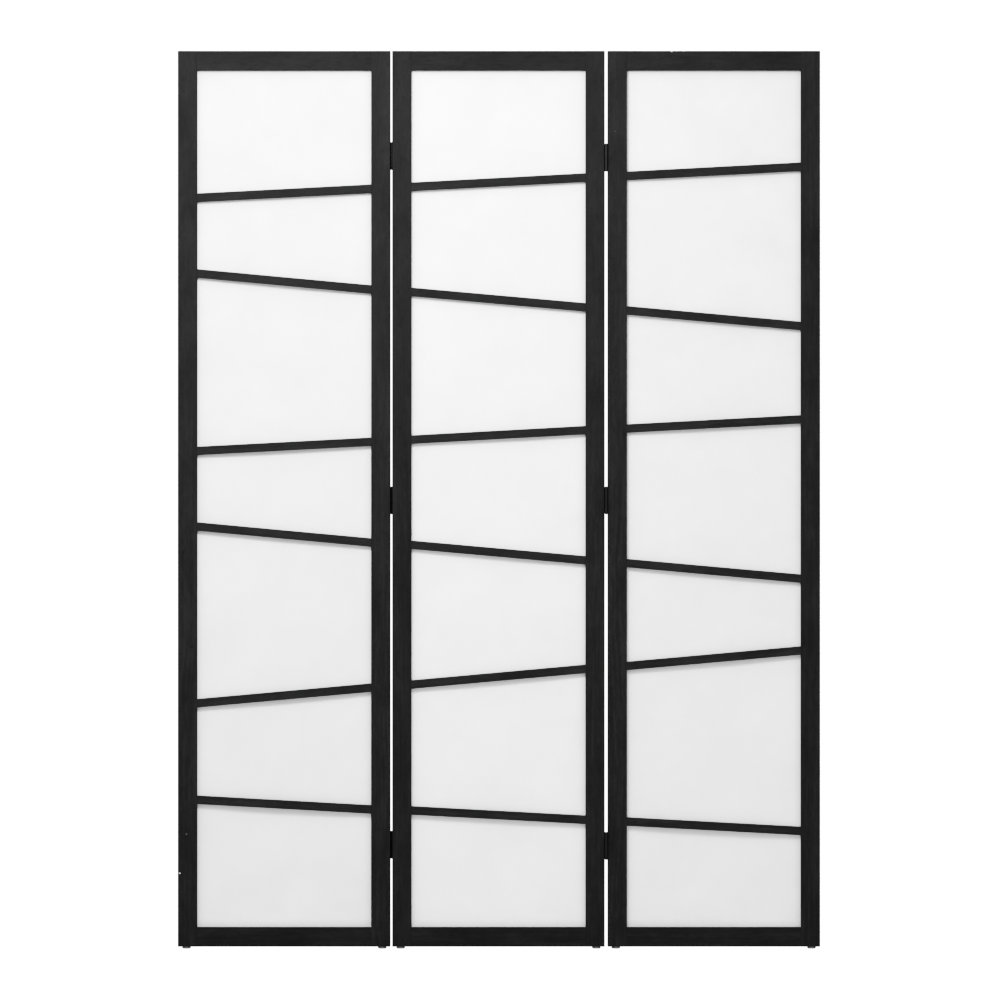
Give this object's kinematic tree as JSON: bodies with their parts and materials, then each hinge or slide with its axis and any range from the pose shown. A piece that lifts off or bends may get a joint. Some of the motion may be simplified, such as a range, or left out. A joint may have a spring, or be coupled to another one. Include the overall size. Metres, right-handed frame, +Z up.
{
  "type": "folding screen",
  "caption": "Free-standing folding screen of black wooden panels with inclined slats over white fabric, joined edge to edge by butt hinges so that it folds flat in a Z.",
  "frame": {"origin": "on the floor under the middle of the screen as it stands open and flat, midway between the hinge barrels front and back", "axes": "+X runs along the open screen, -Y is the front with the slats, +Z is up"},
  "size_m": [1.216, 0.029, 1.7],
  "materials": {
    "black_frame_wood": "satin",
    "black_slat_wood": "satin",
    "black_bead_wood": "satin",
    "white_nonwoven": "matte",
    "beech_dowel": "matte",
    "grey_glide_plastic": "matte",
    "black_hinge_steel": "satin",
    "black_pin_steel": "satin",
    "black_screw_steel": "satin"
  },
  "bodies": {
    "centre_panel": {"centre_panel_left_stile": "black_frame_wood", "centre_panel_right_stile": "black_frame_wood", "centre_panel_top_rail": "black_frame_wood", "centre_panel_bottom_rail": "black_frame_wood", "centre_panel_slat_1": "black_slat_wood", "centre_panel_slat_2": "black_slat_wood", "centre_panel_slat_3": "black_slat_wood", "centre_panel_slat_4": "black_slat_wood", "centre_panel_slat_5": "black_slat_wood", "centre_panel_slat_6": "black_slat_wood", "centre_panel_fabric": "white_nonwoven", "centre_panel_beads": "black_bead_wood", "centre_panel_dowels": "beech_dowel", "centre_panel_glides": "grey_glide_plastic", "centre_panel_hinge_screws": "black_screw_steel", "left_hinge_top_centre_leaf": "black_hinge_steel", "left_hinge_middle_centre_leaf": "black_hinge_steel", "left_hinge_bottom_centre_leaf": "black_hinge_steel", "right_hinge_top_centre_leaf": "black_hinge_steel", "right_hinge_middle_centre_leaf": "black_hinge_steel", "right_hinge_bottom_centre_leaf": "black_hinge_steel", "left_hinge_pins": "black_pin_steel", "right_hinge_pins": "black_pin_steel"},
    "left_panel": {"left_panel_left_stile": "black_frame_wood", "left_panel_right_stile": "black_frame_wood", "left_panel_top_rail": "black_frame_wood", "left_panel_bottom_rail": "black_frame_wood", "left_panel_slat_1": "black_slat_wood", "left_panel_slat_2": "black_slat_wood", "left_panel_slat_3": "black_slat_wood", "left_panel_slat_4": "black_slat_wood", "left_panel_slat_5": "black_slat_wood", "left_panel_slat_6": "black_slat_wood", "left_panel_fabric": "white_nonwoven", "left_panel_beads": "black_bead_wood", "left_panel_dowels": "beech_dowel", "left_panel_glides": "grey_glide_plastic", "left_panel_hinge_screws": "black_screw_steel", "left_hinge_top_side_leaf": "black_hinge_steel", "left_hinge_middle_side_leaf": "black_hinge_steel", "left_hinge_bottom_side_leaf": "black_hinge_steel"},
    "right_panel": {"right_panel_left_stile": "black_frame_wood", "right_panel_right_stile": "black_frame_wood", "right_panel_top_rail": "black_frame_wood", "right_panel_bottom_rail": "black_frame_wood", "right_panel_slat_1": "black_slat_wood", "right_panel_slat_2": "black_slat_wood", "right_panel_slat_3": "black_slat_wood", "right_panel_slat_4": "black_slat_wood", "right_panel_slat_5": "black_slat_wood", "right_panel_slat_6": "black_slat_wood", "right_panel_fabric": "white_nonwoven", "right_panel_beads": "black_bead_wood", "right_panel_dowels": "beech_dowel", "right_panel_glides": "grey_glide_plastic", "right_panel_hinge_screws": "black_screw_steel", "right_hinge_top_side_leaf": "black_hinge_steel", "right_hinge_middle_side_leaf": "black_hinge_steel", "right_hinge_bottom_side_leaf": "black_hinge_steel"}
  },
  "joints": [
    {"name": "left_fold", "type": "hinge", "parent": "centre_panel", "child": "left_panel", "pos_m": [-0.204, 0.0115, 0.85], "axis": [0, 0, -1], "range_deg": [-10, 180]},
    {"name": "right_fold", "type": "hinge", "parent": "centre_panel", "child": "right_panel", "pos_m": [0.203, -0.0115, 0.85], "axis": [0, 0, -1], "range_deg": [-11, 180]}
  ]
}
